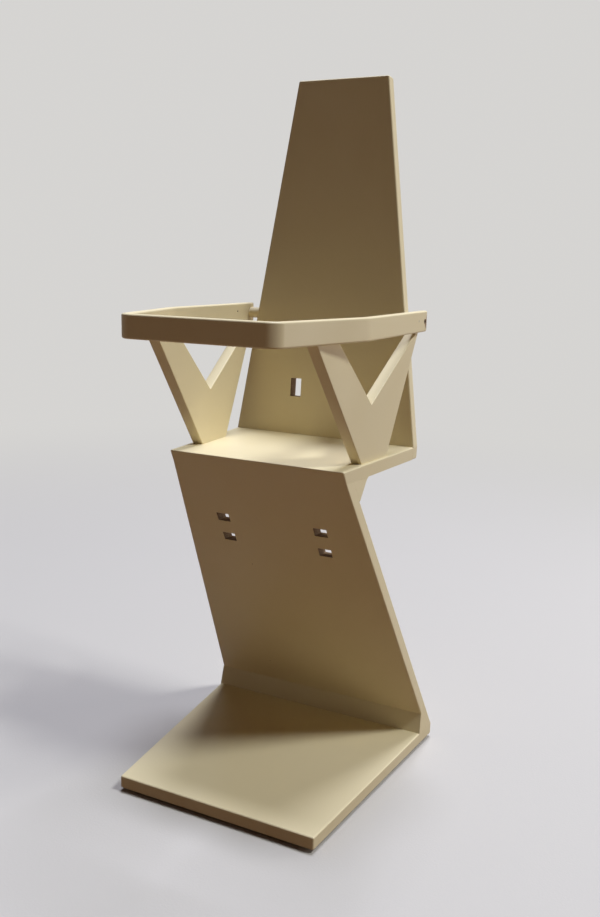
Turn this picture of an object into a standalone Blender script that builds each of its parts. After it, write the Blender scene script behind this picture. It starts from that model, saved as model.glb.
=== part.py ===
"""Child's high chair of flat painted boards, with a guard rail that swings up and over the back.

Metres, +Z up. The front faces -Y, left and right are those of someone who faces the chair, and the
origin is on the floor at the middle of the chair's box. In the code, depths run back from the front
edge of the base and heights run up from the floor.
"""

import math

import bmesh
import bpy
from mathutils import Matrix, Vector

# Stock and finish
BOARD = 0.018
EDGE_ROUND = 0.002
ROUND_STEPS = 3
JOINT_GAP = 0.0003

# Heights
UNDERSIDE_HEIGHT = 0.005
SEAT_HEIGHT = 0.4765
TOTAL_HEIGHT = 1.0

# Base and leg
BASE_FRONT_WIDTH = 0.300
BASE_REAR_WIDTH = 0.3685
SEAT_SETBACK = 0.092
LEG_LEAN = math.radians(29.2)

# Seat and back
SEAT_FRONT_WIDTH = 0.262
SEAT_REAR_WIDTH = 0.297
SEAT_DEPTH = 0.217
BACK_TOP_WIDTH = 0.142
BACK_LEAN = math.radians(3.4)
BACK_FOOT_ROUND = 0.004

# Level slots in the leg for the tongues of a footrest
FOOTREST_SLOT_WIDTH = 0.020
FOOTREST_SLOT_HEIGHT = 0.0127
FOOTREST_SLOT_SPREAD = 0.1535
FOOTREST_SLOT_DROPS = (0.1015, 0.135)

# Strap slots in the back
STRAP_SLOT_WIDTH = 0.0175
STRAP_SLOT_HEIGHT = 0.028
STRAP_SLOT_SPREAD = 0.097
STRAP_SLOT_RISE = 0.072

# Corner blocks, measured along the board and up or down the leg
LOWER_BLOCK_DEPTH = 0.0235
LOWER_BLOCK_HEIGHT = 0.030
UPPER_BLOCK_DEPTH = 0.040
UPPER_BLOCK_HEIGHT = 0.0285
UPPER_BLOCK_COVE = 0.010
COVE_STEPS = 4

# V-shaped arm supports, leaning edges measured from upright
ARM_THICKNESS = 0.016
ARM_INSET = 0.0045
ARM_ROUND = 0.0012
ARM_FOOT_SETBACK = 0.060
ARM_FOOT_LENGTH = 0.076
ARM_NOTCH_SETBACK = 0.023
ARM_NOTCH_HEIGHT = 0.0775
ARM_FRONT_LEAN = math.radians(-38.4)
ARM_NOTCH_FRONT_LEAN = math.radians(-48.5)
ARM_NOTCH_REAR_LEAN = math.radians(56.0)
ARM_REAR_LEAN = math.radians(27.5)
ARM_TOE_RADIUS = 0.002
ARM_TOE_STEPS = 3

# Guard rail, a flat band bent round the front and both sides
RAIL_HEIGHT = 0.030
RAIL_THICKNESS = 0.010
RAIL_ROUND = 0.0025
RAIL_WIDTH = 0.297
RAIL_FRONT_WIDTH = 0.213
RAIL_REACH = 0.383
RAIL_TAPER_LENGTH = 0.169
RAIL_TAIL = 0.0095
RAIL_CORNER_RADIUS = 0.020
RAIL_CORNER_STEPS = 8
RAIL_BEND_RADIUS = 0.060
RAIL_BEND_STEPS = 4
RAIL_DROP = math.radians(0.8)

# Old screw hole on the inner face of the rail's left side
OLD_HOLE_RADIUS = 0.0013
OLD_HOLE_DEPTH = 0.004
OLD_HOLE_SETBACK = 0.042
OLD_HOLE_RISE = 0.003

# Pivots of the rail, in the edges of the back
PIVOT_RISE = 0.182
SPACER_RADIUS = 0.008
PIVOT_SCREW_GRIP = 0.030
PIVOT_HEAD_RADIUS = 0.0034
PIVOT_HEAD_RECESS = 0.0025

# Slotted screws
SCREW_RADIUS = 0.0025
SCREW_HEAD_HEIGHT = 0.0024
SCREW_TIP = 0.005
SCREW_SLOT_WIDTH = 0.0010
SCREW_SLOT_DEPTH = 0.0012

# Dowels in the glued joints, in rows whose ends keep a distance from the board's edges
DOWEL_RADIUS = 0.004
DOWEL_CHAMFER = 0.0008
LEG_DOWEL_LENGTH = 0.034
LEG_DOWEL_IN_BOARD = 0.012
LEG_FOOT_DOWELS = 4
LEG_FOOT_DOWEL_EDGE = 0.046
LEG_TOP_DOWELS = 4
LEG_TOP_DOWEL_EDGE = 0.034
BACK_DOWEL_LENGTH = 0.032
BACK_DOWEL_IN_BACK = 0.010
BACK_DOWELS = 5
BACK_DOWEL_EDGE = 0.0285
ARM_DOWEL_LENGTH = 0.030
ARM_DOWEL_IN_SEAT = 0.012
ARM_DOWEL_EDGE = 0.019

# Screws in the corner blocks, in rows like the dowels
BLOCK_HEAD_RADIUS = 0.0042
BLOCK_HEAD_RECESS = 0.0015
LOWER_SCREWS = 3
LOWER_SCREW_EDGE = 0.070
LOWER_SCREW_SETBACK = 0.0115
LOWER_SCREW_IN_BLOCK = 0.0155
UPPER_SCREWS = 3
UPPER_SCREW_EDGE = 0.053
UPPER_SCREW_SETBACK = 0.023
UPPER_SCREW_IN_SEAT = 0.012

# Floor glides
GLIDE_RADIUS = 0.014
GLIDE_INSET = 0.036

# Facets of round pieces
DOWEL_SIDES = 12
SCREW_SIDES = 16
SPACER_SIDES = 24

# How far cutters run on past a face, and how close two places count as one or are welded
CUT_PAST = 0.01
SAME = 1e-5
WELD = 1e-6

# Share of a face's normal that makes it face one way, and the bend up to which a surface looks smooth
FACING = 0.99
SMOOTH_BEND = math.radians(40)

# Colour, roughness and metallic value of each finish
PAINT = ((0.80, 0.71, 0.49, 1.0), 0.45, 0.0)
BARE_WOOD = ((0.62, 0.45, 0.27, 1.0), 0.6, 0.0)
STEEL = ((0.20, 0.19, 0.18, 1.0), 0.4, 1.0)
FELT = ((0.03, 0.028, 0.025, 1.0), 0.95, 0.0)

# Heights and depths that follow from the sizes above
BASE_TOP = UNDERSIDE_HEIGHT + BOARD
SEAT_UNDERSIDE = SEAT_HEIGHT - BOARD
LEG_RUN = math.tan(LEG_LEAN)
LEG_LEVEL_THICKNESS = BOARD / math.cos(LEG_LEAN)
BACK_RUN = math.tan(BACK_LEAN)
BACK_LEVEL_THICKNESS = BOARD / math.cos(BACK_LEAN)
BACK_FRONT = SEAT_SETBACK + SEAT_DEPTH
PIVOT_HEIGHT = SEAT_HEIGHT + PIVOT_RISE
PIVOT_DEPTH = BACK_FRONT + PIVOT_RISE * BACK_RUN + BACK_LEVEL_THICKNESS / 2
PIVOT_ALONG_BACK = PIVOT_RISE / math.cos(BACK_LEAN)


def leg_front(z):
    """Depth of the leg's front face at a height."""
    return SEAT_SETBACK + (SEAT_HEIGHT - z) * LEG_RUN


def leg_rear(z):
    """Depth of the leg's rear face at a height."""
    return leg_front(z) + LEG_LEVEL_THICKNESS


BASE_DEPTH = leg_rear(BASE_TOP)
RAIL_FRONT = PIVOT_DEPTH - RAIL_REACH * math.cos(RAIL_DROP) - RAIL_HEIGHT / 2 * math.sin(RAIL_DROP)
BACK_REAR = BACK_FRONT + (TOTAL_HEIGHT - SEAT_HEIGHT) * BACK_RUN + BACK_LEVEL_THICKNESS
MIDDLE_DEPTH = (min(RAIL_FRONT, 0) + max(BASE_DEPTH, BACK_REAR)) / 2


def base_half_width(y):
    """Half the base's width at a depth."""
    return (BASE_FRONT_WIDTH + (BASE_REAR_WIDTH - BASE_FRONT_WIDTH) * y / BASE_DEPTH) / 2


def seat_half_width(y):
    """Half the seat's width at a depth."""
    share = (y - SEAT_SETBACK) / SEAT_DEPTH
    return (SEAT_FRONT_WIDTH + (SEAT_REAR_WIDTH - SEAT_FRONT_WIDTH) * share) / 2


def leg_half_width(y, z):
    """Half the leg's width, flush with the base at its foot and with the seat at its top."""
    into_leg = y - leg_front(z)
    share = (z - BASE_TOP) / (SEAT_UNDERSIDE - BASE_TOP)
    at_foot = base_half_width(leg_front(BASE_TOP) + into_leg)
    at_top = seat_half_width(leg_front(SEAT_UNDERSIDE) + into_leg)
    return at_foot + (at_top - at_foot) * share


BACK_LENGTH = (TOTAL_HEIGHT - SEAT_HEIGHT) / math.cos(BACK_LEAN)
BACK_TAPER = (SEAT_REAR_WIDTH - BACK_TOP_WIDTH) / 2 / BACK_LENGTH


def back_half_width(up):
    """Half the back's width at a distance up its face from the seat."""
    return SEAT_REAR_WIDTH / 2 - BACK_TAPER * up


def upper_block_face(y):
    """Height of the upper block's sloping face at a depth."""
    low = SEAT_UNDERSIDE - UPPER_BLOCK_HEIGHT
    toe = leg_rear(SEAT_UNDERSIDE) + UPPER_BLOCK_DEPTH
    return low + UPPER_BLOCK_HEIGHT * (y - leg_rear(low)) / (toe - leg_rear(low))


def rail_underside(y):
    """Height of the rail's lower edge at a depth, with the rail down."""
    drop = (PIVOT_DEPTH - y) * math.tan(RAIL_DROP)
    return PIVOT_HEIGHT - drop - RAIL_HEIGHT / 2 / math.cos(RAIL_DROP)


def clear_scene():
    for obj in list(bpy.data.objects):
        bpy.data.objects.remove(obj)


def new_collection(name):
    collection = bpy.data.collections.new(name)
    bpy.context.scene.collection.children.link(collection)
    return collection


def new_material(name, finish):
    colour, roughness, metallic = finish
    material = bpy.data.materials.new(name)
    material.use_nodes = True
    shader = material.node_tree.nodes["Principled BSDF"]
    shader.inputs["Base Color"].default_value = colour
    shader.inputs["Roughness"].default_value = roughness
    shader.inputs["Metallic"].default_value = metallic
    material.diffuse_color = colour
    return material


def new_empty(name, parent, location):
    empty = bpy.data.objects.new(name, None)
    parts.objects.link(empty)
    empty.parent = parent
    empty.location = location
    return empty


def place(obj, parent, location=(0, 0, 0), turn=None):
    """Sets an object under its parent, turned by a rotation matrix."""
    obj.parent = parent
    obj.location = location
    if turn is not None:
        obj.rotation_euler = turn.to_euler()
    return obj


def add_piece(name, mesh, material, parent, location=(0, 0, 0), turn=None):
    piece = bpy.data.objects.new(name, mesh)
    parts.objects.link(piece)
    mesh.materials.clear()
    mesh.materials.append(material)
    return place(piece, parent, location, turn)


def add_cutter(name, mesh, parent, location=(0, 0, 0), turn=None):
    cutter = bpy.data.objects.new(name, mesh)
    cutters.objects.link(cutter)
    cutter.hide_render = True
    cutter.display_type = "WIRE"
    return place(cutter, parent, location, turn)


def cut(piece, cutter):
    modifier = piece.modifiers.new(cutter.name, "BOOLEAN")
    modifier.operation = "DIFFERENCE"
    modifier.solver = "EXACT"
    modifier.object = cutter


def outline_mesh(name, outline, depth):
    """A flat outline in X and Y, as thick as depth along Z and centred on Z = 0."""
    curve = bpy.data.curves.new(name, "CURVE")
    curve.dimensions = "2D"
    curve.fill_mode = "BOTH"
    curve.extrude = depth / 2
    spline = curve.splines.new("POLY")
    spline.points.add(len(outline) - 1)
    for point, (u, v) in zip(spline.points, outline):
        point.co = (u, v, 0, 1)
    spline.use_cyclic_u = True
    holder = bpy.data.objects.new(name, curve)
    bpy.context.scene.collection.objects.link(holder)
    evaluated = holder.evaluated_get(bpy.context.evaluated_depsgraph_get())
    mesh = bpy.data.meshes.new_from_object(evaluated)
    bpy.data.objects.remove(holder)
    bm = bmesh.new()
    bm.from_mesh(mesh)
    bmesh.ops.remove_doubles(bm, verts=bm.verts, dist=WELD)
    bmesh.ops.recalc_face_normals(bm, faces=bm.faces)
    flat = [e for e in bm.edges if all(abs(f.normal.z) > FACING for f in e.link_faces)]
    bmesh.ops.dissolve_edges(bm, edges=flat, use_verts=False)
    bm.to_mesh(mesh)
    bm.free()
    mesh.name = name
    return mesh


def across_mesh(name, profile, half_width):
    """A side profile in depth and height, carried across the chair to half_width(y, z) each way."""
    mesh = outline_mesh(name, profile, 2.0)
    for vertex in mesh.vertices:
        y, z, side = vertex.co
        vertex.co = (math.copysign(half_width(y, z), side), y, z)
    mesh.update()
    return mesh


def split_faces(mesh, place, normal):
    """Adds edges all round a mesh where a plane crosses it."""
    bm = bmesh.new()
    bm.from_mesh(mesh)
    geometry = bm.verts[:] + bm.edges[:] + bm.faces[:]
    bmesh.ops.bisect_plane(bm, geom=geometry, plane_co=place, plane_no=normal, dist=WELD)
    bm.to_mesh(mesh)
    bm.free()


def shade_round(mesh):
    mesh.shade_smooth()
    mesh.set_sharp_from_angle(angle=SMOOTH_BEND)


def box_mesh(name, size):
    bm = bmesh.new()
    bmesh.ops.create_cube(bm, size=1.0, matrix=Matrix.Diagonal((*size, 1.0)))
    mesh = bpy.data.meshes.new(name)
    bm.to_mesh(mesh)
    bm.free()
    return mesh


def cylinder_mesh(name, radius, length, sides):
    """A cylinder along Z from 0 to length."""
    bm = bmesh.new()
    middle = Matrix.Translation((0, 0, length / 2))
    bmesh.ops.create_cone(bm, cap_ends=True, segments=sides, radius1=radius, radius2=radius,
                          depth=length, matrix=middle)
    mesh = bpy.data.meshes.new(name)
    bm.to_mesh(mesh)
    bm.free()
    shade_round(mesh)
    return mesh


def round_edges(piece, width, share):
    """Rounds the edge between two corners a and b by share(a, b) of the width, or not where that is 0."""
    mesh = piece.data
    weights = mesh.attributes.new("bevel_weight_edge", "FLOAT", "EDGE")
    for edge in mesh.edges:
        a, b = (mesh.vertices[i].co for i in edge.vertices)
        weights.data[edge.index].value = float(share(a, b))
    modifier = piece.modifiers.new("rounded_edges", "BEVEL")
    modifier.limit_method = "WEIGHT"
    modifier.width = width
    modifier.segments = ROUND_STEPS
    return modifier


def along(direction):
    """Rotation that turns +Z to a direction."""
    return Vector((0, 0, 1)).rotation_difference(Vector(direction).normalized()).to_matrix()


def close_to(value, target):
    return abs(value - target) < SAME


def make_base():
    """The base, whose top edges stay square where the lower block and the leg stand flush on them."""
    block_front = leg_front(BASE_TOP) - LOWER_BLOCK_DEPTH
    profile = [(0, UNDERSIDE_HEIGHT), (BASE_DEPTH, UNDERSIDE_HEIGHT), (BASE_DEPTH, BASE_TOP), (0, BASE_TOP)]
    mesh = across_mesh("base_board", profile, lambda y, z: base_half_width(y))
    split_faces(mesh, (0, block_front, 0), (0, 1, 0))
    base = add_piece("base_board", mesh, paint, chair)

    def is_free(a, b):
        on_split = close_to(a.y, block_front) and close_to(b.y, block_front)
        on_top = close_to(a.z, BASE_TOP) and close_to(b.z, BASE_TOP)
        return not (on_split or on_top and min(a.y, b.y) > block_front - SAME)

    round_edges(base, EDGE_ROUND, is_free)
    return base


def make_leg():
    """The leg, cut level at both ends, with its edges left square beside the corner blocks."""
    foot = BASE_TOP + JOINT_GAP
    top = SEAT_UNDERSIDE - JOINT_GAP
    lower_stop = BASE_TOP + LOWER_BLOCK_HEIGHT
    upper_stop = SEAT_UNDERSIDE - UPPER_BLOCK_HEIGHT
    profile = [(leg_front(foot), foot), (leg_rear(foot), foot), (leg_rear(top), top), (leg_front(top), top)]
    mesh = across_mesh("leg_board", profile, leg_half_width)
    for stop in (lower_stop, upper_stop):
        split_faces(mesh, (0, 0, stop), (0, 0, 1))
    leg = add_piece("leg_board", mesh, paint, chair)

    def is_free(a, b):
        low, high = sorted((a.z, b.z))
        if close_to(low, high):
            return False
        is_rear_edge = close_to(a.y, leg_rear(a.z)) and close_to(b.y, leg_rear(b.z))
        return high < upper_stop + SAME if is_rear_edge else low > lower_stop - SAME

    round_edges(leg, EDGE_ROUND, is_free)
    slot = box_mesh("footrest_slot", (FOOTREST_SLOT_WIDTH, 4 * BOARD, FOOTREST_SLOT_HEIGHT))
    for drop in FOOTREST_SLOT_DROPS:
        z = SEAT_HEIGHT - drop
        y = (leg_front(z) + leg_rear(z)) / 2
        for x in (-FOOTREST_SLOT_SPREAD / 2, FOOTREST_SLOT_SPREAD / 2):
            cut(leg, add_cutter("footrest_slot", slot, chair, (x, y, z)))
    return leg


def make_seat():
    """The seat, its front edge cut to the leg's slope and its rear end to the back's lean.

    The part of its top in front of the arm supports is a face of its own, on which something can rest.
    """
    front_low = leg_front(SEAT_UNDERSIDE)
    rear = BACK_FRONT - JOINT_GAP
    clear_until = SEAT_SETBACK + ARM_FOOT_SETBACK - BOARD
    profile = [(front_low, SEAT_UNDERSIDE), (rear - BOARD * BACK_RUN, SEAT_UNDERSIDE),
               (rear, SEAT_HEIGHT), (SEAT_SETBACK, SEAT_HEIGHT)]
    mesh = across_mesh("seat_board", profile, lambda y, z: seat_half_width(y))
    split_faces(mesh, (0, clear_until, 0), (0, 1, 0))
    seat = add_piece("seat_board", mesh, paint, chair)

    def is_free(a, b):
        on_split = close_to(a.y, clear_until) and close_to(b.y, clear_until)
        on_top = close_to(a.z, SEAT_HEIGHT) and close_to(b.z, SEAT_HEIGHT)
        at_rear = min(a.y, b.y) > rear - BOARD
        at_front = max(a.y, b.y) < front_low + SAME
        if on_split:
            return False
        return (on_top and not at_rear) or (at_front and not close_to(a.z, b.z))

    round_edges(seat, EDGE_ROUND, is_free)
    return seat


def make_back():
    """The back, in a frame whose X is across, Y up its slope from the seat and Z to the front.

    Its front edges stay square beside the seat, and its lower rear edge is rounded more than the rest.
    """
    foot = -BOARD / math.cos(BACK_LEAN)
    outline = [(side * back_half_width(max(up, 0)), up)
               for side, ups in ((1, (foot, 0, BACK_LENGTH)), (-1, (BACK_LENGTH, 0, foot)))
               for up in ups]
    mesh = outline_mesh("back_board", outline, BOARD)
    split_faces(mesh, (0, 0, 0), (0, 1, 0))
    into_back = Vector((0, math.cos(BACK_LEAN), -math.sin(BACK_LEAN))) * BOARD / 2
    turn = Matrix.Rotation(math.pi / 2 - BACK_LEAN, 3, "X")
    middle = Vector((0, BACK_FRONT, SEAT_HEIGHT)) + into_back
    back = add_piece("back_board", mesh, paint, chair, middle, turn)

    def share(a, b):
        on_split = close_to(a.y, 0) and close_to(b.y, 0)
        beside_seat = max(a.y, b.y) < SAME
        through = a.z * b.z < 0
        if on_split or beside_seat and a.z > 0 and b.z > 0:
            return 0
        is_rear_foot = close_to(a.y, foot) and close_to(b.y, foot) and not through
        return 1 if is_rear_foot else EDGE_ROUND / BACK_FOOT_ROUND

    round_edges(back, BACK_FOOT_ROUND, share)
    slot = box_mesh("strap_slot", (STRAP_SLOT_WIDTH, STRAP_SLOT_HEIGHT, 2 * BOARD))
    for x in (-STRAP_SLOT_SPREAD / 2, STRAP_SLOT_SPREAD / 2):
        cut(back, add_cutter("strap_slot", slot, back, (x, STRAP_SLOT_RISE, 0)))
    return back


def make_lower_block():
    """The wedge in front of the leg, on the base."""
    foot = BASE_TOP + JOINT_GAP
    top = BASE_TOP + LOWER_BLOCK_HEIGHT
    gap = JOINT_GAP / math.cos(LEG_LEAN)
    profile = [(leg_front(BASE_TOP) - LOWER_BLOCK_DEPTH, foot), (leg_front(foot) - gap, foot),
               (leg_front(top) - gap, top)]
    mesh = across_mesh("lower_corner_block", profile, leg_half_width)
    return add_piece("lower_corner_block", mesh, paint, chair)


def corner_arc(corner, toward_a, toward_b, radius, steps):
    """Points of the arc that rounds the corner between two directions."""
    a = Vector(toward_a).normalized()
    b = Vector(toward_b).normalized()
    half = a.angle(b) / 2
    centre = Vector(corner) + (a + b).normalized() * radius / math.sin(half)
    start = Vector(corner) + a * radius / math.tan(half) - centre
    end = Vector(corner) + b * radius / math.tan(half) - centre
    turn = start.angle_signed(end)
    return [tuple(centre + Matrix.Rotation(-turn * i / steps, 2) @ start) for i in range(steps + 1)]


def make_upper_block():
    """The wedge behind the leg, under the seat, with a small cove where it runs out on the seat."""
    top = SEAT_UNDERSIDE - JOINT_GAP
    low = SEAT_UNDERSIDE - UPPER_BLOCK_HEIGHT
    gap = JOINT_GAP / math.cos(LEG_LEAN)
    toe = (leg_rear(SEAT_UNDERSIDE) + UPPER_BLOCK_DEPTH, top)
    tip = (leg_rear(low) + gap, low)
    down_face = (tip[0] - toe[0], tip[1] - toe[1])
    run_out = corner_arc(toe, down_face, (1, 0), UPPER_BLOCK_COVE, COVE_STEPS)
    profile = [tip, *run_out, (leg_rear(top) + gap, top)]

    def half_width(y, z):
        share = (SEAT_UNDERSIDE - z) / UPPER_BLOCK_HEIGHT
        return seat_half_width(y) * (1 - share) + leg_half_width(*tip) * share

    mesh = across_mesh("upper_corner_block", profile, half_width)
    return add_piece("upper_corner_block", mesh, paint, chair)


def arm_outline():
    """The V in its own plane: X back from the front of its foot, Y up from the seat."""
    foot_depth = SEAT_SETBACK + ARM_FOOT_SETBACK

    def up_to_rail(start, lean):
        run = math.tan(lean)
        at_zero = rail_underside(foot_depth) - SEAT_HEIGHT - JOINT_GAP
        slope = math.tan(RAIL_DROP)
        height = (at_zero + slope * (start[0] - start[1] * run)) / (1 - slope * run)
        return start[0] + (height - start[1]) * run, height

    front = Vector((0, JOINT_GAP))
    rear = Vector((ARM_FOOT_LENGTH, JOINT_GAP))
    notch = (ARM_NOTCH_SETBACK, ARM_NOTCH_HEIGHT)
    front_top = Vector(up_to_rail(front, ARM_FRONT_LEAN))
    toe = corner_arc(front, front_top - front, rear - front, ARM_TOE_RADIUS, ARM_TOE_STEPS)
    return [*toe, rear, up_to_rail(rear, ARM_REAR_LEAN), up_to_rail(notch, ARM_NOTCH_REAR_LEAN), notch,
            up_to_rail(notch, ARM_NOTCH_FRONT_LEAN), front_top]


def make_arm_support(name, side):
    """One V board, upright and parallel to the seat's side edge. side is -1 on the left, 1 on the right."""
    mesh = outline_mesh(name, arm_outline(), ARM_THICKNESS)
    toe = math.atan((SEAT_REAR_WIDTH - SEAT_FRONT_WIDTH) / 2 / SEAT_DEPTH)
    back_along = Vector((side * math.sin(toe), math.cos(toe), 0))
    outward = back_along.cross(Vector((0, 0, 1)))
    turn = Matrix((back_along, (0, 0, 1), outward)).transposed()
    y = SEAT_SETBACK + ARM_FOOT_SETBACK
    x = side * (seat_half_width(y) - (ARM_INSET + ARM_THICKNESS / 2) / math.cos(toe))
    support = add_piece(name, mesh, paint, chair, (x, y, SEAT_HEIGHT), turn)

    def is_free(a, b):
        on_face = a.z * b.z > 0
        at_foot = close_to(a.y, JOINT_GAP) and close_to(b.y, JOINT_GAP)
        return on_face and not at_foot

    round_edges(support, ARM_ROUND, is_free)
    return support


def offset_path(points, distance):
    """The path moved sideways by a distance, to its left."""
    lines = []
    for a, b in zip(points, points[1:]):
        ahead = (Vector(b) - Vector(a)).normalized()
        aside = Vector((-ahead.y, ahead.x)) * distance
        lines.append((Vector(a) + aside, Vector(b) + aside, ahead))
    moved = [lines[0][0]]
    for (p, _, d), (q, _, e) in zip(lines, lines[1:]):
        t = (q - p).cross(e) / d.cross(e)
        moved.append(p + d * t)
    moved.append(lines[-1][1])
    return moved


def rounded_path(points, bends):
    """The path with each inner corner replaced by an arc of (radius, steps)."""
    path = [tuple(points[0])]
    for before, corner, after, (radius, steps) in zip(points, points[1:], points[2:], bends):
        corner = Vector(corner)
        path += corner_arc(corner, Vector(before) - corner, Vector(after) - corner, radius, steps)
    path.append(tuple(points[-1]))
    return path


def make_rail():
    """The bent band, with its origin on the pivot axis."""
    bend = -(RAIL_REACH - RAIL_TAPER_LENGTH)
    right = [(RAIL_WIDTH / 2, RAIL_TAIL), (RAIL_WIDTH / 2, bend), (RAIL_FRONT_WIDTH / 2, -RAIL_REACH)]
    outer = right + [(-x, y) for x, y in reversed(right)]
    inner = offset_path(outer, -RAIL_THICKNESS)
    radii = (RAIL_BEND_RADIUS, RAIL_CORNER_RADIUS, RAIL_CORNER_RADIUS, RAIL_BEND_RADIUS)
    steps = (RAIL_BEND_STEPS, RAIL_CORNER_STEPS, RAIL_CORNER_STEPS, RAIL_BEND_STEPS)
    outside = rounded_path(outer, list(zip(radii, steps)))
    inside = rounded_path(inner, [(r - RAIL_THICKNESS, n) for r, n in zip(radii, steps)])
    mesh = outline_mesh("guard_rail", outside + inside[::-1], RAIL_HEIGHT)
    shade_round(mesh)
    rail = add_piece("guard_rail", mesh, paint, pivot, turn=Matrix.Rotation(RAIL_DROP, 3, "X"))

    def is_free(a, b):
        upright = not close_to(a.z, b.z)
        return not upright or close_to(a.y, RAIL_TAIL)

    round_edges(rail, RAIL_ROUND, is_free)
    old_hole = cylinder_mesh("old_hole", OLD_HOLE_RADIUS, OLD_HOLE_DEPTH + CUT_PAST, SCREW_SIDES)
    mouth = -(RAIL_WIDTH / 2 - RAIL_THICKNESS) - OLD_HOLE_DEPTH
    place_of_hole = (mouth, -OLD_HOLE_SETBACK, OLD_HOLE_RISE)
    cut(rail, add_cutter("old_hole", old_hole, rail, place_of_hole, along((1, 0, 0))))
    return rail


def row(half_width, edge, count):
    """Places of an even row across a board, whose ends keep a distance from the board's side edges."""
    reach = half_width - edge
    return [reach * (2 * i / (count - 1) - 1) for i in range(count)]


def make_dowel(name, start, direction, length, hosts):
    """A chamfered dowel from a start point, with its hole in each host."""
    turn = along(direction)
    mesh = cylinder_mesh(name, DOWEL_RADIUS, length, DOWEL_SIDES)
    dowel = add_piece(name, mesh, bare_wood, chair, start, turn)
    chamfer = round_edges(dowel, DOWEL_CHAMFER, lambda a, b: close_to(a.z, b.z))
    chamfer.segments = 1
    hole = cylinder_mesh(name + "_hole", DOWEL_RADIUS + JOINT_GAP, length + 2 * JOINT_GAP, DOWEL_SIDES)
    bottom = Vector(start) - Vector(direction).normalized() * JOINT_GAP
    cutter = add_cutter(name + "_hole", hole, chair, bottom, turn)
    for host in hosts:
        cut(host, cutter)
    return dowel


def make_screw(name, start, direction, length, head_radius, hosts, bored, bore_out):
    """A slotted screw whose head starts at a point and whose tip lies along a direction.

    Hosts get a hole for the shank. The bored host also gets a bore for the head, which runs out from
    the head by bore_out.
    """
    tip = length - SCREW_TIP
    profile = [(0, 0), (head_radius, 0), (head_radius, SCREW_HEAD_HEIGHT),
               (SCREW_RADIUS, SCREW_HEAD_HEIGHT), (SCREW_RADIUS, tip), (0, length)]
    mesh = bpy.data.meshes.new(name)
    mesh.from_pydata([(r, 0, -down) for r, down in profile],
                     [(i, i + 1) for i in range(len(profile) - 1)], [])
    turn = along(-Vector(direction))
    screw = add_piece(name, mesh, steel, chair, start, turn)
    lathe = screw.modifiers.new("turned", "SCREW")
    lathe.steps = SCREW_SIDES
    lathe.render_steps = SCREW_SIDES
    lathe.use_merge_vertices = True
    lathe.merge_threshold = WELD
    slot = box_mesh(name + "_slot", (4 * head_radius, SCREW_SLOT_WIDTH, 2 * SCREW_SLOT_DEPTH))
    cut(screw, add_cutter(name + "_slot", slot, screw))
    shank = cylinder_mesh(name + "_hole", SCREW_RADIUS + JOINT_GAP, length + JOINT_GAP, SCREW_SIDES)
    shank_cutter = add_cutter(name + "_hole", shank, chair, start, along(direction))
    for host in hosts:
        cut(host, shank_cutter)
    bore_length = SCREW_HEAD_HEIGHT + JOINT_GAP + bore_out
    bore = cylinder_mesh(name + "_bore", head_radius + JOINT_GAP, bore_length, SCREW_SIDES)
    mouth = Vector(start) - Vector(direction).normalized() * bore_out
    cut(bored, add_cutter(name + "_bore", bore, chair, mouth, along(direction)))
    return screw


def make_joint_dowels(base, leg, seat, back, supports):
    """The dowels of the four glued joints."""
    up_leg = Vector((0, -math.sin(LEG_LEAN), math.cos(LEG_LEAN)))
    rest = LEG_DOWEL_LENGTH - LEG_DOWEL_IN_BOARD
    foot = Vector((0, leg_front(BASE_TOP) + LEG_LEVEL_THICKNESS / 2, BASE_TOP))
    for i, x in enumerate(row(base_half_width(foot.y), LEG_FOOT_DOWEL_EDGE, LEG_FOOT_DOWELS), 1):
        start = foot - up_leg * LEG_DOWEL_IN_BOARD + Vector((x, 0, 0))
        make_dowel(f"leg_foot_dowel_{i}", start, up_leg, LEG_DOWEL_LENGTH, (base, leg))
    top = Vector((0, leg_front(SEAT_UNDERSIDE) + LEG_LEVEL_THICKNESS / 2, SEAT_UNDERSIDE))
    for i, x in enumerate(row(seat_half_width(top.y), LEG_TOP_DOWEL_EDGE, LEG_TOP_DOWELS), 1):
        start = top - up_leg * rest + Vector((x, 0, 0))
        make_dowel(f"leg_top_dowel_{i}", start, up_leg, LEG_DOWEL_LENGTH, (leg, seat))
    to_back = Vector((0, math.cos(BACK_LEAN), -math.sin(BACK_LEAN)))
    end = Vector((0, BACK_FRONT - BOARD / 2 * BACK_RUN, SEAT_HEIGHT - BOARD / 2))
    for i, x in enumerate(row(SEAT_REAR_WIDTH / 2, BACK_DOWEL_EDGE, BACK_DOWELS), 1):
        start = end - to_back * (BACK_DOWEL_LENGTH - BACK_DOWEL_IN_BACK) + Vector((x, 0, 0))
        make_dowel(f"back_dowel_{i}", start, to_back, BACK_DOWEL_LENGTH, (seat, back))
    for side, support in supports.items():
        frame = support.matrix_basis
        for i, along_foot in enumerate((ARM_DOWEL_EDGE, ARM_FOOT_LENGTH - ARM_DOWEL_EDGE), 1):
            start = frame @ Vector((along_foot, -ARM_DOWEL_IN_SEAT, 0))
            make_dowel(f"{side}_arm_dowel_{i}", start, (0, 0, 1), ARM_DOWEL_LENGTH, (seat, support))


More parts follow.
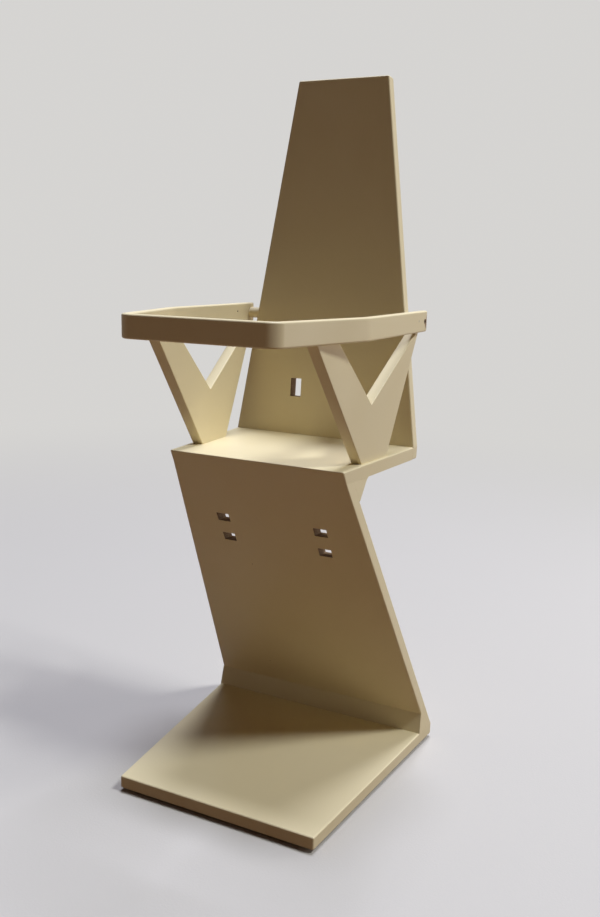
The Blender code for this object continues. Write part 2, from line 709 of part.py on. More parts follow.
def make_block_screws(base, seat, lower_block, upper_block):
    """Screws up through the base into the lower block, and up through the upper block into the seat."""
    low_head = UNDERSIDE_HEIGHT + BLOCK_HEAD_RECESS
    low_length = BASE_TOP + LOWER_SCREW_IN_BLOCK - low_head
    low_depth = leg_front(BASE_TOP) - LOWER_SCREW_SETBACK
    for i, x in enumerate(row(base_half_width(low_depth), LOWER_SCREW_EDGE, LOWER_SCREWS), 1):
        make_screw(f"lower_block_screw_{i}", (x, low_depth, low_head), (0, 0, 1), low_length,
                   BLOCK_HEAD_RADIUS, (base, lower_block), base, BLOCK_HEAD_RECESS + CUT_PAST)
    high_depth = leg_rear(SEAT_UNDERSIDE) + UPPER_SCREW_SETBACK
    high_head = upper_block_face(high_depth + BLOCK_HEAD_RADIUS) + BLOCK_HEAD_RECESS
    high_length = SEAT_UNDERSIDE + UPPER_SCREW_IN_SEAT - high_head
    for i, x in enumerate(row(seat_half_width(high_depth), UPPER_SCREW_EDGE, UPPER_SCREWS), 1):
        make_screw(f"upper_block_screw_{i}", (x, high_depth, high_head), (0, 0, 1), high_length,
                   BLOCK_HEAD_RADIUS, (seat, upper_block), upper_block, UPPER_BLOCK_HEIGHT)


def make_pivot(side_name, side, back, rail):
    """One pivot: a round spacer cut to the slope of the back's edge, and the screw that holds it."""
    rail_inside = RAIL_WIDTH / 2 - RAIL_THICKNESS
    edge = back_half_width(PIVOT_ALONG_BACK)
    outward = (side, 0, 0)
    overlong = edge - SPACER_RADIUS * BACK_TAPER - CUT_PAST
    name = f"{side_name}_pivot_spacer"
    mesh = cylinder_mesh(name, SPACER_RADIUS, rail_inside - JOINT_GAP - overlong, SPACER_SIDES)
    start = (side * overlong, PIVOT_DEPTH, PIVOT_HEIGHT)
    spacer = add_piece(name, mesh, paint, chair, start, along(outward))
    reach = 4 * SPACER_RADIUS
    slope = math.atan(BACK_TAPER)
    inside_edge = Vector((math.cos(slope), math.sin(slope), 0)) * (reach / 2 - JOINT_GAP)
    middle = Vector((edge, PIVOT_ALONG_BACK, 0)) - inside_edge
    trim = box_mesh(name + "_trim", (reach, reach, reach))
    trim_turn = Matrix.Rotation(side * slope, 3, "Z")
    cut(spacer, add_cutter(name + "_trim", trim, back, (side * middle.x, middle.y, 0), trim_turn))
    head = (side * (RAIL_WIDTH / 2 - PIVOT_HEAD_RECESS), PIVOT_DEPTH, PIVOT_HEIGHT)
    length = RAIL_WIDTH / 2 - PIVOT_HEAD_RECESS - edge + PIVOT_SCREW_GRIP
    make_screw(f"{side_name}_pivot_screw", head, (-side, 0, 0), length, PIVOT_HEAD_RADIUS,
               (rail, spacer, back), rail, PIVOT_HEAD_RECESS + CUT_PAST)


def make_glides():
    """Round pads under the corners of the base."""
    for end, y in (("front", GLIDE_INSET), ("rear", BASE_DEPTH - GLIDE_INSET)):
        for side_name, side in SIDES:
            name = f"{end}_{side_name}_glide"
            mesh = cylinder_mesh(name, GLIDE_RADIUS, UNDERSIDE_HEIGHT - JOINT_GAP, SPACER_SIDES)
            x = side * (base_half_width(y) - GLIDE_INSET)
            add_piece(name, mesh, felt, chair, (x, y, 0))


SIDES = (("left", -1), ("right", 1))

clear_scene()
parts = new_collection("child_chair")
cutters = new_collection("cutters")
paint = new_material("ivory_paint", PAINT)
bare_wood = new_material("bare_wood", BARE_WOOD)
steel = new_material("dark_steel", STEEL)
felt = new_material("dark_felt", FELT)

chair = new_empty("chair_frame", None, (0, -MIDDLE_DEPTH, 0))
pivot = new_empty("rail_pivot", chair, (0, PIVOT_DEPTH, PIVOT_HEIGHT))

base_board = make_base()
leg_board = make_leg()
seat_board = make_seat()
back_board = make_back()
lower_corner_block = make_lower_block()
upper_corner_block = make_upper_block()
arm_supports = {side_name: make_arm_support(f"{side_name}_arm_support", side) for side_name, side in SIDES}
guard_rail = make_rail()
make_joint_dowels(base_board, leg_board, seat_board, back_board, arm_supports)
make_block_screws(base_board, seat_board, lower_corner_block, upper_corner_block)
for pivot_name, pivot_side in SIDES:
    make_pivot(pivot_name, pivot_side, back_board, guard_rail)
make_glides()
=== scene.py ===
"""Looks of the painted child's chair: paint, bare wood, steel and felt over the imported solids."""

import math

import bmesh
import bpy
from mathutils import Matrix, Vector


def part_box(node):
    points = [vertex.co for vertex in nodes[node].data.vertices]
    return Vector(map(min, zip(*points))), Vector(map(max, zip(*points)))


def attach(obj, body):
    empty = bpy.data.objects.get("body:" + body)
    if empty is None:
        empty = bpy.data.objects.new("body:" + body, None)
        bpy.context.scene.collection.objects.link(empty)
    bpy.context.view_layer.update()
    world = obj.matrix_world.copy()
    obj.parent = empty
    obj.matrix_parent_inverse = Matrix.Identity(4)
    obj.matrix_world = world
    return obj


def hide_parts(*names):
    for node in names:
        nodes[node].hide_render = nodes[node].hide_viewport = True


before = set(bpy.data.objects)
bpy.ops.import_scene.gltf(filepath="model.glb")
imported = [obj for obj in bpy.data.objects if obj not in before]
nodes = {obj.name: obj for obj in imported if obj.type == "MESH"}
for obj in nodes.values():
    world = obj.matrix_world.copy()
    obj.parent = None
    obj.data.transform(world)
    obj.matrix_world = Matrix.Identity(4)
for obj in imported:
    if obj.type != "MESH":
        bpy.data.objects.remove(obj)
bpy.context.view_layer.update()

# Heights, depths and slopes of the boards, as in the solids. All lengths are in metres.
BASE_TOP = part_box("base_board")[1].z
BASE_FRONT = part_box("base_board")[0].y
SEAT_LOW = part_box("seat_board")[0].z
SEAT_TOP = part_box("seat_board")[1].z
SEAT_SETBACK = 0.092
SEAT_DEPTH = 0.217
BOARD = 0.018
LEG_LEAN = math.radians(29.2)
BACK_LEAN = math.radians(3.4)
LEG_FOOT_FRONT = BASE_FRONT + SEAT_SETBACK + (SEAT_TOP - BASE_TOP) * math.tan(LEG_LEAN)
LEG_LEVEL = BOARD / math.cos(LEG_LEAN)
BACK_FRONT = BASE_FRONT + SEAT_SETBACK + SEAT_DEPTH

# Gap between the solids in a glued joint, and how far off the other piece a point is still in the joint
GAP = 0.0003
JOINT = 2 * GAP
LEG_JOINT = 2.5 * GAP

# How far a point may lie from the seat's rear face and still be on it
NEAR = 0.0002

# Slots and holes: reach from the middle, and lowest and highest points
LEG_SLOT_REACH, LEG_SLOT_LOW, LEG_SLOT_HIGH = 0.088, 0.325, 0.395
BACK_SLOT_REACH, BACK_SLOT_LOW, BACK_SLOT_HIGH = 0.070, 0.520, 0.575
PIVOT_DEPTH, PIVOT_HEIGHT, PIVOT_BORE = 0.17296, 0.6585, 0.0042
OLD_HOLE_DEPTH, OLD_HOLE_HEIGHT, OLD_HOLE_BORE = PIVOT_DEPTH - 0.042, PIVOT_HEIGHT + 0.003, 0.0016

# The normals of a slot's walls have less than this share across the board
WALL_SHARE = 0.5

# Points closer than this merge, and faces that bend less than this become one
WELD = 1e-6
FLAT_BEND = math.radians(0.15)

# Faces larger and wider than this keep their own normal, and faces blend up to this cosine
FLAT_AREA = 0.0001
FLAT_WIDTH = 0.002
BLEND_LIMIT = 0.6

# Felt pads: shares of the radius and heights up the rim, share of the radius at the top
PAD_RIM = ((0.80, 0), (0.93, 0.0004), (0.985, 0.0012), (1, 0.0024), (0.985, 0.0036), (0.95, 0.0044))
PAD_TOP = 0.92
PAD_SIDES = 48
PAD_SHARP = math.radians(40)

# Colours
IVORY = (0.82, 0.72, 0.47, 1)
IVORY_WARM = (0.775, 0.665, 0.41, 1)
IVORY_WORN = (0.60, 0.455, 0.26, 1)
# Dirt, and painted shade in inner corners; also the colour of the crack
GRIME_AND_SHADE = (0.33, 0.24, 0.135, 1)
SPECK = (0.16, 0.11, 0.07, 1)
# Bare wood, dark as painted shade inside the slots and holes
BARE_SHADED = (0.42, 0.30, 0.19, 1)
BARE_SHADED_DARK = (0.20, 0.13, 0.078, 1)
FILLER = (0.50, 0.45, 0.33, 1)
BEECH = (0.60, 0.42, 0.24, 1)
BEECH_DARK = (0.42, 0.26, 0.135, 1)
STEEL = (0.22, 0.205, 0.19, 1)
STEEL_DARK = (0.085, 0.075, 0.065, 1)
FELT = (0.030, 0.027, 0.024, 1)
FELT_PALE = (0.075, 0.068, 0.060, 1)
FLOOR = (0.585, 0.56, 0.52, 1)
FLOOR_SHADE = (0.535, 0.51, 0.475, 1)
FLOOR_BOUNCE = (0.146, 0.075, 0.030, 1)
BACKGROUND = (0.67, 0.66, 0.645, 1)
AMBIENT = (1.0, 0.41, 0.17, 1)

# In the values below, NOISE is scale, detail and roughness, and GRAIN is the scales along x, y and z, detail
# and roughness. FADE is where a pattern starts and where it is full, SHARE how much of its colour shows, and
# HEIGHT how far it stands out. A plain noise spreads over most of its values in NOISE_FADE.
NOISE_FADE = (0.3, 0.7)

# Paint
STROKE_ALONG, STROKE_ACROSS = 16, 620
STREAK_DETAIL, STREAK_ROUGHNESS = 3.0, 0.6
STREAK_FADE, STREAK_SHARE, STREAK_HEIGHT = (0.45, 0.72), 0.10, 0.00004
CLOUD_NOISE, CLOUD_FADE, CLOUD_SHARE = (4.5, 3.0, 0.55), (0.32, 0.70), 0.40
# Dirt patches and painted shade darken the paint in inner corners, within the reach below
GRIME_AND_SHADE_NOISE, GRIME_AND_SHADE_FADE, GRIME_AND_SHADE_SHARES, GRIME_AND_SHADE_REACH = (60.0, 3.0, 0.5), (0.35, 0.75), (0.10, 0.40), 0.012
RUB_NOISE, RUB_FADE, RUB_SHARE, RUB_RADIUS = (38.0, 5.0, 0.65), (0.60, 0.74), 0.55, 0.0022
RUB_ROUGHNESS = 0.12
SPECK_SCALE, SPECK_FADE, SPECK_PICK, SPECK_SHARE = 26.0, (0.026, 0.016), (0.86, 0.87), 0.75
SHEEN_NOISE, SHEEN_FADE, SHEEN_ROUGHNESS = (9.0, 4.0, 0.6), (0.30, 0.72), (0.40, 0.52)
WAVE_NOISE, WAVE_HEIGHT = (14.0, 1.0, 0.5), 0.00045
STIPPLE_NOISE, STIPPLE_HEIGHT = (850.0, 2.0, 0.5), 0.000022
CHIP_HEIGHT = 0.00012
PAINT_SPECULAR = 0.35

# Rubbed edges, and inner corners darkened by dirt and painted shade: rays to find them, and where they start
# and are full
CORNER_RAYS = 6
EDGE_FADE = (0.985, 0.80)
HOLLOW_FADE = (0.55, 0.12)

# Marks on the outer face at the rail's right end: a filled screw hole, and a crack below the pivot
MARK_FADE = (0.1465, 0.1475)
PLUG_DEPTH, PLUG_HEIGHT = PIVOT_DEPTH - 0.026, PIVOT_HEIGHT + 0.001
PLUG_FADE, PLUG_SHARE = (0.0019, 0.0014), 0.75
CRACK_NOISE, CRACK_WAVER = (160.0, 3.0, 0.5), 0.0016
CRACK_FADE, CRACK_SHARE = (0.00055, 0.0002), 0.6
CRACK_TOP_FADE = (PIVOT_HEIGHT, PIVOT_HEIGHT - 0.002)

# Bare wood, darkened as painted shade inside the slots and holes, and beech
WOOD_FADE = (0.35, 0.70)
BARE_GRAIN, BARE_HEIGHT, BARE_ROUGHNESS = ((90, 700, 700), 4.0, 0.6), 0.0002, (0.80, 0.95)
# Darker patches of dirt and painted shade on the bare wood
DIRT_AND_SHADE_NOISE, DIRT_AND_SHADE_FADE, DIRT_AND_SHADE_SHARES = (180.0, 4.0, 0.65), (0.45, 0.75), (0.0, 0.7)
BEECH_GRAIN, BEECH_HEIGHT, BEECH_ROUGHNESS = ((420, 420, 24), 4.0, 0.6), 0.00008, (0.55, 0.68)
FLECK_SCALES, FLECK_FADE, FLECK_SHARE = (700, 700, 160), (0.30, 0.12), 0.35

# Steel and felt
STEEL_NOISE, STEEL_FADE = (260.0, 4.0, 0.65), (0.42, 0.66)
STEEL_GRAIN, STEEL_HEIGHT, STEEL_ROUGHNESS = ((180, 2600, 2600), 2.0, 0.5), 0.00003, (0.34, 0.50)
FIBRE_NOISE, FIBRE_BEND, FIBRE_FADE, FIBRE_HEIGHT = (2600.0, 4.0, 0.7), 1.5, (0.55, 0.75), 0.0003
CLUMP_NOISE, CLUMP_HEIGHT = (420.0, 3.0, 0.5), 0.0006
FELT_ROUGHNESS = (0.88, 1.0)
FELT_SHEEN = 0.3

# Floor, which fades into the background with the distance from the middle
FLOOR_RADIUS = 12
FLOOR_SIDES = 96
FLOOR_FADE = (0.9, 3.2)
FLOOR_ROUGHNESS = 0.85
FLOOR_CLOUD_NOISE, FLOOR_CLOUD_SHARES = (2.2, 4.0, 0.6), (0.0, 0.08)
FLOOR_NOISE, FLOOR_HEIGHT = (320.0, 3.0, 0.5), 0.0002

# Lamps: name, place, target, width and depth, power in watts, colour
LAMPS = (
    ("key_right", (6.00, 0.73, 9.00), (0, 0, 0.40), (2.00, 2.00), 534, (0.98, 1.02, 1.04)),
    ("key_top", (0, 1.81, 9.00), (0, 0, 0.40), (3.30, 1.80), 578, (0.97, 1.02, 1.20)),
    ("side_soft", (2.0, 1.50, 0.75), (0, 0.10, 0.45), (0.9, 0.9), 10.4, (1.0, 0.97, 0.95)),
)
AMBIENT_STRENGTH = 0.029

# Camera, fitted to the photo: focal length and image height in pixels, angles in degrees
FOCAL = 911.6
IMAGE_HEIGHT = 917
SENSOR = 36
CAMERA_PLACE = Vector((0.571, BASE_FRONT - 0.943, 0.722))
YAW, PITCH, ROLL = (math.radians(angle) for angle in (25.84, 11.52, 1.78))


class Tree:
    """The nodes of a material or a world, with short calls to add and join them."""

    def __init__(self, owner):
        owner.use_nodes = True
        self.owner = owner
        self.tree = owner.node_tree

    def add(self, kind, **settings):
        node = self.tree.nodes.new(kind)
        for key, value in settings.items():
            setattr(node, key, value)
        return node

    def put(self, socket, value):
        if isinstance(value, bpy.types.NodeSocket):
            self.tree.links.new(value, socket)
        else:
            socket.default_value = value

    def math(self, operation, a, b=0.0):
        node = self.add("ShaderNodeMath", operation=operation)
        self.put(node.inputs[0], a)
        self.put(node.inputs[1], b)
        return node.outputs[0]

    def choose(self, factor, first, second):
        """The first shader where the factor is 0, the second where it is 1."""
        node = self.add("ShaderNodeMixShader")
        for socket, value in zip(node.inputs, (factor, first, second)):
            self.put(socket, value)
        return node.outputs["Shader"]

    def seen(self):
        """1 for what is seen, straight, in a reflection or through glass, and 0 for all other light."""
        path = self.add("ShaderNodeLightPath")
        either = self.math("MAXIMUM", path.outputs["Is Camera Ray"], path.outputs["Is Glossy Ray"])
        return self.math("MAXIMUM", either, path.outputs["Is Transmission Ray"])


class Surface(Tree):
    """The nodes of a new material."""

    def __init__(self, name):
        super().__init__(bpy.data.materials.new(name))
        self.shader = self.tree.nodes["Principled BSDF"]
        self.place = self.add("ShaderNodeTexCoord").outputs["Object"]

    def finish(self, colour, roughness, normal, **others):
        """Gives the shader its inputs and returns the material."""
        self.put(self.shader.inputs["Base Color"], colour)
        self.put(self.shader.inputs["Roughness"], roughness)
        self.put(self.shader.inputs["Normal"], normal)
        for key, value in others.items():
            self.put(self.shader.inputs[key.replace("_", " ")], value)
        return self.owner

    def mapped(self, scale):
        node = self.add("ShaderNodeMapping")
        self.put(node.inputs["Vector"], self.place)
        node.inputs["Scale"].default_value = scale
        return node.outputs["Vector"]

    def noise(self, scale, detail, roughness, vector=None, distortion=0.0):
        node = self.add("ShaderNodeTexNoise")
        self.put(node.inputs["Vector"], vector or self.place)
        node.inputs["Scale"].default_value = scale
        node.inputs["Detail"].default_value = detail
        node.inputs["Roughness"].default_value = roughness
        node.inputs["Distortion"].default_value = distortion
        return node.outputs["Fac"]

    def grain(self, scales, detail, roughness):
        """Noise that is drawn out along the axis with the smallest scale."""
        return self.noise(1.0, detail, roughness, self.mapped(scales))

    def spots(self, scale, vector=None):
        """Distance to the nearest of scattered points, and a random value for each point."""
        node = self.add("ShaderNodeTexVoronoi")
        self.put(node.inputs["Vector"], vector or self.place)
        node.inputs["Scale"].default_value = scale
        return node.outputs["Distance"], node.outputs["Color"]

    def ramp(self, value, fade, levels=(0.0, 1.0)):
        """A soft step from the first level to the second, over the values of the fade."""
        node = self.add("ShaderNodeMapRange", interpolation_type="SMOOTHSTEP")
        self.put(node.inputs["Value"], value)
        for key, number in zip(("From Min", "From Max", "To Min", "To Max"), (*fade, *levels)):
            node.inputs[key].default_value = number
        return node.outputs["Result"]

    def mix(self, factor, a, b):
        node = self.add("ShaderNodeMix", data_type="RGBA")
        self.put(node.inputs["Factor"], factor)
        self.put(node.inputs["A"], a)
        self.put(node.inputs["B"], b)
        return node.outputs["Result"]

    def cover(self, colour, mask, share, top_colour):
        """A colour with a share of another one over it where the mask is 1."""
        return self.mix(self.math("MULTIPLY", mask, share), colour, top_colour)

    def bump(self, pattern, height, below=None):
        node = self.add("ShaderNodeBump")
        node.inputs["Distance"].default_value = height
        self.put(node.inputs["Height"], pattern)
        if below is not None:
            self.put(node.inputs["Normal"], below)
        return node.outputs["Normal"]

    def edge(self, radius):
        """1 on sharp or rounded edges, 0 on flat faces."""
        bevel = self.add("ShaderNodeBevel", samples=CORNER_RAYS)
        bevel.inputs["Radius"].default_value = radius
        geometry = self.add("ShaderNodeNewGeometry")
        dot = self.add("ShaderNodeVectorMath", operation="DOT_PRODUCT")
        self.put(dot.inputs[0], bevel.outputs["Normal"])
        self.put(dot.inputs[1], geometry.outputs["Normal"])
        return self.ramp(dot.outputs["Value"], EDGE_FADE)

    def hollow(self, distance):
        """1 deep in inner corners, 0 in the open."""
        node = self.add("ShaderNodeAmbientOcclusion", samples=CORNER_RAYS)
        node.inputs["Distance"].default_value = distance
        return self.ramp(node.outputs["AO"], HOLLOW_FADE)


def add_marks(t, colour):
    """A filled screw hole and a fine crack on the outer face at the rail's right end."""
    axes = t.add("ShaderNodeSeparateXYZ")
    t.put(axes.inputs[0], t.place)
    outer = t.ramp(axes.outputs["X"], MARK_FADE)
    away = t.add("ShaderNodeVectorMath", operation="DISTANCE")
    t.put(away.inputs[0], t.mapped((0, 1, 1)))
    away.inputs[1].default_value = (0, PLUG_DEPTH, PLUG_HEIGHT)
    plug = t.math("MULTIPLY", outer, t.ramp(away.outputs["Value"], PLUG_FADE))
    colour = t.cover(colour, plug, PLUG_SHARE, FILLER)
    waver = t.math("MULTIPLY", t.math("SUBTRACT", t.noise(*CRACK_NOISE), 0.5), CRACK_WAVER)
    aside = t.math("ABSOLUTE", t.math("ADD", t.math("SUBTRACT", axes.outputs["Y"], PIVOT_DEPTH), waver))
    crack = t.math("MULTIPLY", t.ramp(aside, CRACK_FADE), t.ramp(axes.outputs["Z"], CRACK_TOP_FADE))
    crack = t.math("MULTIPLY", crack, outer)
    return t.cover(colour, crack, CRACK_SHARE, GRIME_AND_SHADE), t.math("MAXIMUM", plug, crack)


def make_paint(name, stroke, is_marked=False):
    """Eggshell paint, brushed along the stroke (x, y, z scale of the streaks), rubbed on the edges, and
    darkened in inner corners by dirt patches and painted shade.
    """
    t = Surface(name)
    clouds = t.ramp(t.noise(*CLOUD_NOISE), CLOUD_FADE)
    streak = t.grain(stroke, STREAK_DETAIL, STREAK_ROUGHNESS)
    colour = t.cover(IVORY, clouds, CLOUD_SHARE, IVORY_WARM)
    colour = t.cover(colour, t.ramp(streak, STREAK_FADE), STREAK_SHARE, IVORY_WARM)
    patches = t.ramp(t.noise(*GRIME_AND_SHADE_NOISE), GRIME_AND_SHADE_FADE, GRIME_AND_SHADE_SHARES)
    # Painted shade with dirt patches: darker where ambient occlusion finds inner corners
    colour = t.cover(colour, t.hollow(GRIME_AND_SHADE_REACH), patches, GRIME_AND_SHADE)
    rub = t.math("MULTIPLY", t.edge(RUB_RADIUS), t.ramp(t.noise(*RUB_NOISE), RUB_FADE))
    colour = t.cover(colour, rub, RUB_SHARE, IVORY_WORN)
    near, pick = t.spots(SPECK_SCALE)
    speck = t.math("MULTIPLY", t.ramp(near, SPECK_FADE), t.ramp(pick, SPECK_PICK))
    colour = t.cover(colour, speck, SPECK_SHARE, SPECK)
    lost = rub
    if is_marked:
        colour, mark = add_marks(t, colour)
        lost = t.math("MAXIMUM", rub, mark)
    sheen_spread = t.ramp(t.noise(*SHEEN_NOISE), SHEEN_FADE, SHEEN_ROUGHNESS)
    roughness = t.math("ADD", sheen_spread, t.math("MULTIPLY", rub, RUB_ROUGHNESS))
    wavy = t.bump(t.noise(*WAVE_NOISE), WAVE_HEIGHT)
    brushed = t.bump(streak, STREAK_HEIGHT, wavy)
    stipple = t.bump(t.noise(*STIPPLE_NOISE), STIPPLE_HEIGHT, brushed)
    chipped = t.bump(t.math("SUBTRACT", 1.0, lost), CHIP_HEIGHT, stipple)
    return t.finish(colour, roughness, chipped, Specular_IOR_Level=PAINT_SPECULAR)


def make_bare_with_painted_shade():
    """Bare wood inside the slots and holes, dark as painted shade, with darker patches of dirt and painted
    shade.
    """
    t = Surface("bare_inside")
    grain = t.grain(*BARE_GRAIN)
    dirt_and_shade = t.noise(*DIRT_AND_SHADE_NOISE)
    colour = t.mix(t.ramp(grain, WOOD_FADE), BARE_SHADED, BARE_SHADED_DARK)
    colour = t.mix(t.ramp(dirt_and_shade, DIRT_AND_SHADE_FADE, DIRT_AND_SHADE_SHARES), colour, BARE_SHADED_DARK)
    return t.finish(colour, t.ramp(dirt_and_shade, NOISE_FADE, BARE_ROUGHNESS), t.bump(grain, BARE_HEIGHT))


def make_beech():
    """Bare beech with grain along Z and its short dark flecks."""
    t = Surface("bare_beech")
    grain = t.grain(*BEECH_GRAIN)
    fleck = t.ramp(t.spots(1.0, t.mapped(FLECK_SCALES))[0], FLECK_FADE)
    colour = t.mix(t.ramp(grain, WOOD_FADE), BEECH, BEECH_DARK)
    colour = t.cover(colour, fleck, FLECK_SHARE, BEECH_DARK)
    return t.finish(colour, t.ramp(grain, NOISE_FADE, BEECH_ROUGHNESS), t.bump(grain, BEECH_HEIGHT))


def make_steel():
    """Dull steel with turning marks and dark patches."""
    t = Surface("dull_steel")
    colour = t.mix(t.ramp(t.noise(*STEEL_NOISE), STEEL_FADE), STEEL, STEEL_DARK)
    scratch = t.grain(*STEEL_GRAIN)
    roughness = t.ramp(scratch, NOISE_FADE, STEEL_ROUGHNESS)
    return t.finish(colour, roughness, t.bump(scratch, STEEL_HEIGHT), Metallic=1.0)


def make_felt():
    """Dark pressed felt with loose pale fibres."""
    t = Surface("dark_felt")
    fibre = t.noise(*FIBRE_NOISE, distortion=FIBRE_BEND)
    clump = t.noise(*CLUMP_NOISE)
    colour = t.mix(t.ramp(fibre, FIBRE_FADE), FELT, FELT_PALE)
    roughness = t.ramp(clump, NOISE_FADE, FELT_ROUGHNESS)
    normal = t.bump(fibre, FIBRE_HEIGHT, t.bump(clump, CLUMP_HEIGHT))
    return t.finish(colour, roughness, normal, Sheen_Weight=FELT_SHEEN)


def make_floor_paint():
    """A pale matt floor that runs out into the background and throws little light back."""
    t = Surface("pale_floor")
    away = t.add("ShaderNodeVectorMath", operation="LENGTH")
    t.put(away.inputs[0], t.place)
    cloud = t.ramp(t.noise(*FLOOR_CLOUD_NOISE), NOISE_FADE, FLOOR_CLOUD_SHARES)
    seen = t.seen()
    colour = t.mix(seen, FLOOR_BOUNCE, t.mix(cloud, FLOOR, FLOOR_SHADE))
    t.finish(colour, FLOOR_ROUGHNESS, t.bump(t.noise(*FLOOR_NOISE), FLOOR_HEIGHT))
    glow = t.add("ShaderNodeEmission")
    glow.inputs["Color"].default_value = BACKGROUND
    far = t.math("MULTIPLY", t.ramp(away.outputs["Value"], FLOOR_FADE), seen)
    both = t.choose(far, t.shader.outputs["BSDF"], glow.outputs["Emission"])
    t.put(t.tree.nodes["Material Output"].inputs["Surface"], both)
    return t.owner


def set_material(obj, material):
    obj.data.materials.clear()
    obj.data.materials.append(material)


def new_object(name, data):
    obj = bpy.data.objects.new(name, data)
    bpy.context.scene.collection.objects.link(obj)
    return obj


def new_mesh(name, bm):
    mesh = bpy.data.meshes.new(name)
    bm.to_mesh(mesh)
    bm.free()
    return mesh


def stand_in(piece, node, body):
    """Has a visual piece ride on a body in place of a node."""
    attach(piece, body)
    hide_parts(node)


def leg_face(z, side):
    """Depth of the leg's front (side 1) or rear (side -1) face at a height."""
    front = LEG_FOOT_FRONT - (z - BASE_TOP) * math.tan(LEG_LEAN)
    return front if side == 1 else front + LEG_LEVEL


def to_leg(point, side):
    """Closes the gap between a corner block's point and the leg's face."""
    face = leg_face(point.z, side)
    if abs(point.y - face) < LEG_JOINT:
        point.y = face
    return point


def close_gaps(name, point):
    """Where a point of a board's mating face goes, so that painted joints show no gap."""
    x, y, z = point
    if name == "leg_board":
        slope = Vector((0, -math.sin(LEG_LEAN), math.cos(LEG_LEAN)))
        if z < BASE_TOP + JOINT:
            return point - slope * (z - BASE_TOP) / slope.z
        if z > SEAT_LOW - JOINT:
            return point + slope * (SEAT_LOW - z) / slope.z
    if name == "lower_corner_block":
        return to_leg(Vector((x, y, BASE_TOP if z < BASE_TOP + JOINT else z)), 1)
    if name == "upper_corner_block":
        return to_leg(Vector((x, y, SEAT_LOW if z > SEAT_LOW - JOINT else z)), -1)
    if name == "seat_board":
        back_face = BACK_FRONT + (z - SEAT_TOP) * math.tan(BACK_LEAN)
        if abs(back_face - GAP - y) < NEAR:
            return Vector((x, back_face, z))
    if name.endswith("arm_support") and z < SEAT_TOP + JOINT:
        return Vector((x, y, SEAT_TOP))
    return point


def even_normals(mesh):
    """Flat faces stay flat, and the narrow faces of rounded edges blend from one flat face to the next."""
    faces = mesh.polygons
    around = [[] for vertex in mesh.vertices]
    for face in faces:
        for vertex in face.vertices:
            around[vertex].append(face.index)
    normals = []
    for face in faces:
        corners = [mesh.vertices[i].co for i in face.vertices]
        round_it = sum((a - b).length for a, b in zip(corners, corners[1:] + corners[:1]))
        is_flat = face.area > FLAT_AREA and 2 * face.area / round_it > FLAT_WIDTH
        for vertex in face.vertices:
            normal = face.normal.copy()
            if not is_flat:
                normal = Vector()
                for other in (faces[i] for i in around[vertex]):
                    if other.normal.dot(face.normal) > BLEND_LIMIT:
                        normal += other.normal * other.area ** 2
            normals.append(normal.normalized())
    mesh.shade_smooth()
    mesh.normals_split_custom_set(normals)


def is_inside(name, middle, normal):
    """Whether a face with this middle and normal lies inside a slot or hole, which gets bare wood darkened
    as painted shade.
    """
    x, y, z = middle
    if name == "leg_board":
        across = normal.y * math.cos(LEG_LEAN) + normal.z * math.sin(LEG_LEAN)
        return abs(across) < WALL_SHARE and abs(x) < LEG_SLOT_REACH and LEG_SLOT_LOW < z < LEG_SLOT_HIGH
    if name == "back_board":
        is_wall = abs(normal.y) < WALL_SHARE
        return is_wall and abs(x) < BACK_SLOT_REACH and BACK_SLOT_LOW < z < BACK_SLOT_HIGH
    if name == "guard_rail":
        from_pivot = math.hypot(y - PIVOT_DEPTH, z - PIVOT_HEIGHT)
        from_old_hole = math.hypot(y - OLD_HOLE_DEPTH, z - OLD_HOLE_HEIGHT)
        return from_pivot < PIVOT_BORE or (x < 0 and from_old_hole < OLD_HOLE_BORE)
    return False


def painted_copy(name, body, paint, bare_shaded):
    """A visual copy of a painted node with closed joints and soft normals on its rounded edges."""
    bm = bmesh.new()
    bm.from_mesh(nodes[name].data)
    bmesh.ops.remove_doubles(bm, verts=bm.verts, dist=WELD)
    for vertex in bm.verts:
        vertex.co = close_gaps(name, vertex.co)
    bmesh.ops.dissolve_limit(bm, angle_limit=FLAT_BEND, verts=bm.verts, edges=bm.edges)
    mesh = new_mesh(name + "_painted", bm)
    even_normals(mesh)
    piece = new_object(name + "_painted", mesh)
    set_material(piece, paint)
    # Faces inside the slots and holes get bare wood darkened as painted shade
    inner = [face for face in mesh.polygons if is_inside(name, face.center, face.normal)]
    if inner:
        mesh.materials.append(bare_shaded)
    for face in inner:
        face.material_index = 1
    stand_in(piece, name, body)


def lathe(name, profile):
    """A turned mesh from (radius, height) points, round Z."""
    bm = bmesh.new()
    points = [bm.verts.new((r, 0, z)) for r, z in profile]
    edges = [bm.edges.new(pair) for pair in zip(points, points[1:])]
    bmesh.ops.spin(bm, geom=points + edges, axis=(0, 0, 1), cent=(0, 0, 0), steps=PAD_SIDES,
                   angle=2 * math.pi, use_merge=True)
    bmesh.ops.remove_doubles(bm, verts=bm.verts, dist=WELD)
    bmesh.ops.recalc_face_normals(bm, faces=bm.faces)
    mesh = new_mesh(name, bm)
    mesh.shade_smooth()
    mesh.set_sharp_from_angle(angle=PAD_SHARP)
    return mesh


def make_glide(node, felt):
    """A felt pad with a soft, slightly bulged rim, up to the base's underside."""
    low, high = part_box(node)
    radius = (high.x - low.x) / 2
    top = high.z + GAP
    rim = [(radius * share, height) for share, height in PAD_RIM]
    profile = [(0, 0), *rim, (radius * PAD_TOP, top), (0, top)]
    piece = new_object(node + "_felt", lathe(node + "_felt", profile))
    piece.location = ((low.x + high.x) / 2, (low.y + high.y) / 2, 0)
    set_material(piece, felt)
    stand_in(piece, node, "chair_frame")


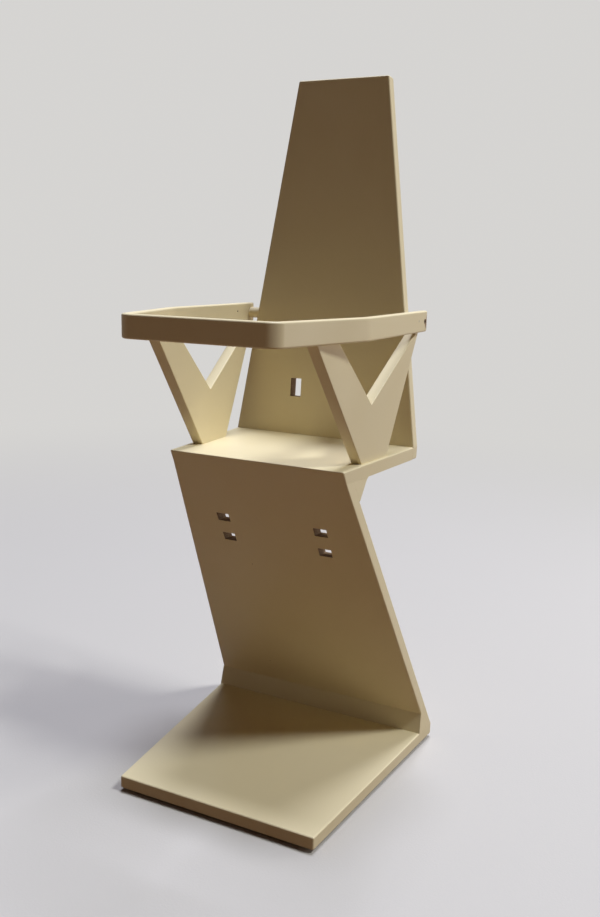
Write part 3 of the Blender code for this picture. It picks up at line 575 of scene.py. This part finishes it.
def make_floor():
    bm = bmesh.new()
    bmesh.ops.create_circle(bm, cap_ends=True, segments=FLOOR_SIDES, radius=FLOOR_RADIUS)
    floor = new_object("floor", new_mesh("floor", bm))
    set_material(floor, make_floor_paint())


def make_lamp(name, place, target, size, power, colour):
    """A soft oval lamp, turned to a target."""
    light = bpy.data.lights.new(name, "AREA")
    light.shape = "ELLIPSE"
    light.size, light.size_y = size
    light.energy = power
    light.color = colour
    lamp = new_object(name, light)
    lamp.location = place
    lamp.rotation_euler = (Vector(target) - Vector(place)).to_track_quat("-Z", "Y").to_euler()


def make_world():
    """A weak warm light from all round. The background is shown in its place where it is seen."""
    t = Tree(bpy.data.worlds.new("studio"))
    bpy.context.scene.world = t.owner
    ambient = t.tree.nodes["Background"]
    ambient.inputs["Color"].default_value = AMBIENT
    ambient.inputs["Strength"].default_value = AMBIENT_STRENGTH
    shown = t.add("ShaderNodeBackground")
    shown.inputs["Color"].default_value = BACKGROUND
    both = t.choose(t.seen(), ambient.outputs["Background"], shown.outputs["Background"])
    t.put(t.tree.nodes["World Output"].inputs["Surface"], both)


def make_camera():
    """A camera at the photo's place, turned by its yaw, pitch and roll."""
    forward = Vector((-math.sin(YAW) * math.cos(PITCH), math.cos(YAW) * math.cos(PITCH), -math.sin(PITCH)))
    level = Vector((math.cos(YAW), math.sin(YAW), 0))
    upright = level.cross(forward)
    right = level * math.cos(ROLL) + upright * math.sin(ROLL)
    up = upright * math.cos(ROLL) - level * math.sin(ROLL)
    turn = Matrix((right, up, -forward)).transposed().to_4x4()
    camera = new_object("camera", bpy.data.cameras.new("camera"))
    camera.data.sensor_width = SENSOR
    camera.data.lens = FOCAL / IMAGE_HEIGHT * SENSOR
    camera.matrix_world = Matrix.Translation(CAMERA_PLACE) @ turn
    bpy.context.scene.camera = camera


paint_x = make_paint("ivory_paint_across", (STROKE_ALONG, STROKE_ACROSS, STROKE_ACROSS))
paint_y = make_paint("ivory_paint_along", (STROKE_ACROSS, STROKE_ALONG, STROKE_ACROSS))
paint_z = make_paint("ivory_paint_up", (STROKE_ACROSS, STROKE_ACROSS, STROKE_ALONG))
paint_rail = make_paint("ivory_paint_rail", (STROKE_ACROSS, STROKE_ALONG, STROKE_ACROSS), is_marked=True)
bare_wood_shaded = make_bare_with_painted_shade()
beech_wood = make_beech()
dull_steel = make_steel()
dark_felt = make_felt()

for node_name, body_name, slot_name, node_paint in (
        ("base_board", "chair_frame", "painted_board", paint_y),
        ("leg_board", "chair_frame", "painted_board", paint_z),
        ("seat_board", "chair_frame", "painted_board", paint_y),
        ("back_board", "chair_frame", "painted_board", paint_z),
        ("lower_corner_block", "chair_frame", "painted_board", paint_x),
        ("upper_corner_block", "chair_frame", "painted_board", paint_x),
        ("left_arm_support", "chair_frame", "painted_board", paint_z),
        ("right_arm_support", "chair_frame", "painted_board", paint_z),
        ("left_pivot_spacer", "chair_frame", "painted_rail", paint_x),
        ("right_pivot_spacer", "chair_frame", "painted_rail", paint_x),
        ("guard_rail", "guard_rail", "painted_rail", paint_rail)):
    painted_copy(node_name, body_name, node_paint, bare_wood_shaded)

for node_name in nodes:
    if "_dowel_" in node_name:
        set_material(nodes[node_name], beech_wood)
    elif "_screw" in node_name:
        set_material(nodes[node_name], dull_steel)
    elif node_name.endswith("_glide"):
        make_glide(node_name, dark_felt)

make_floor()
for lamp_values in LAMPS:
    make_lamp(*lamp_values)
make_world()
make_camera()
bpy.context.scene.view_settings.view_transform = "Standard"
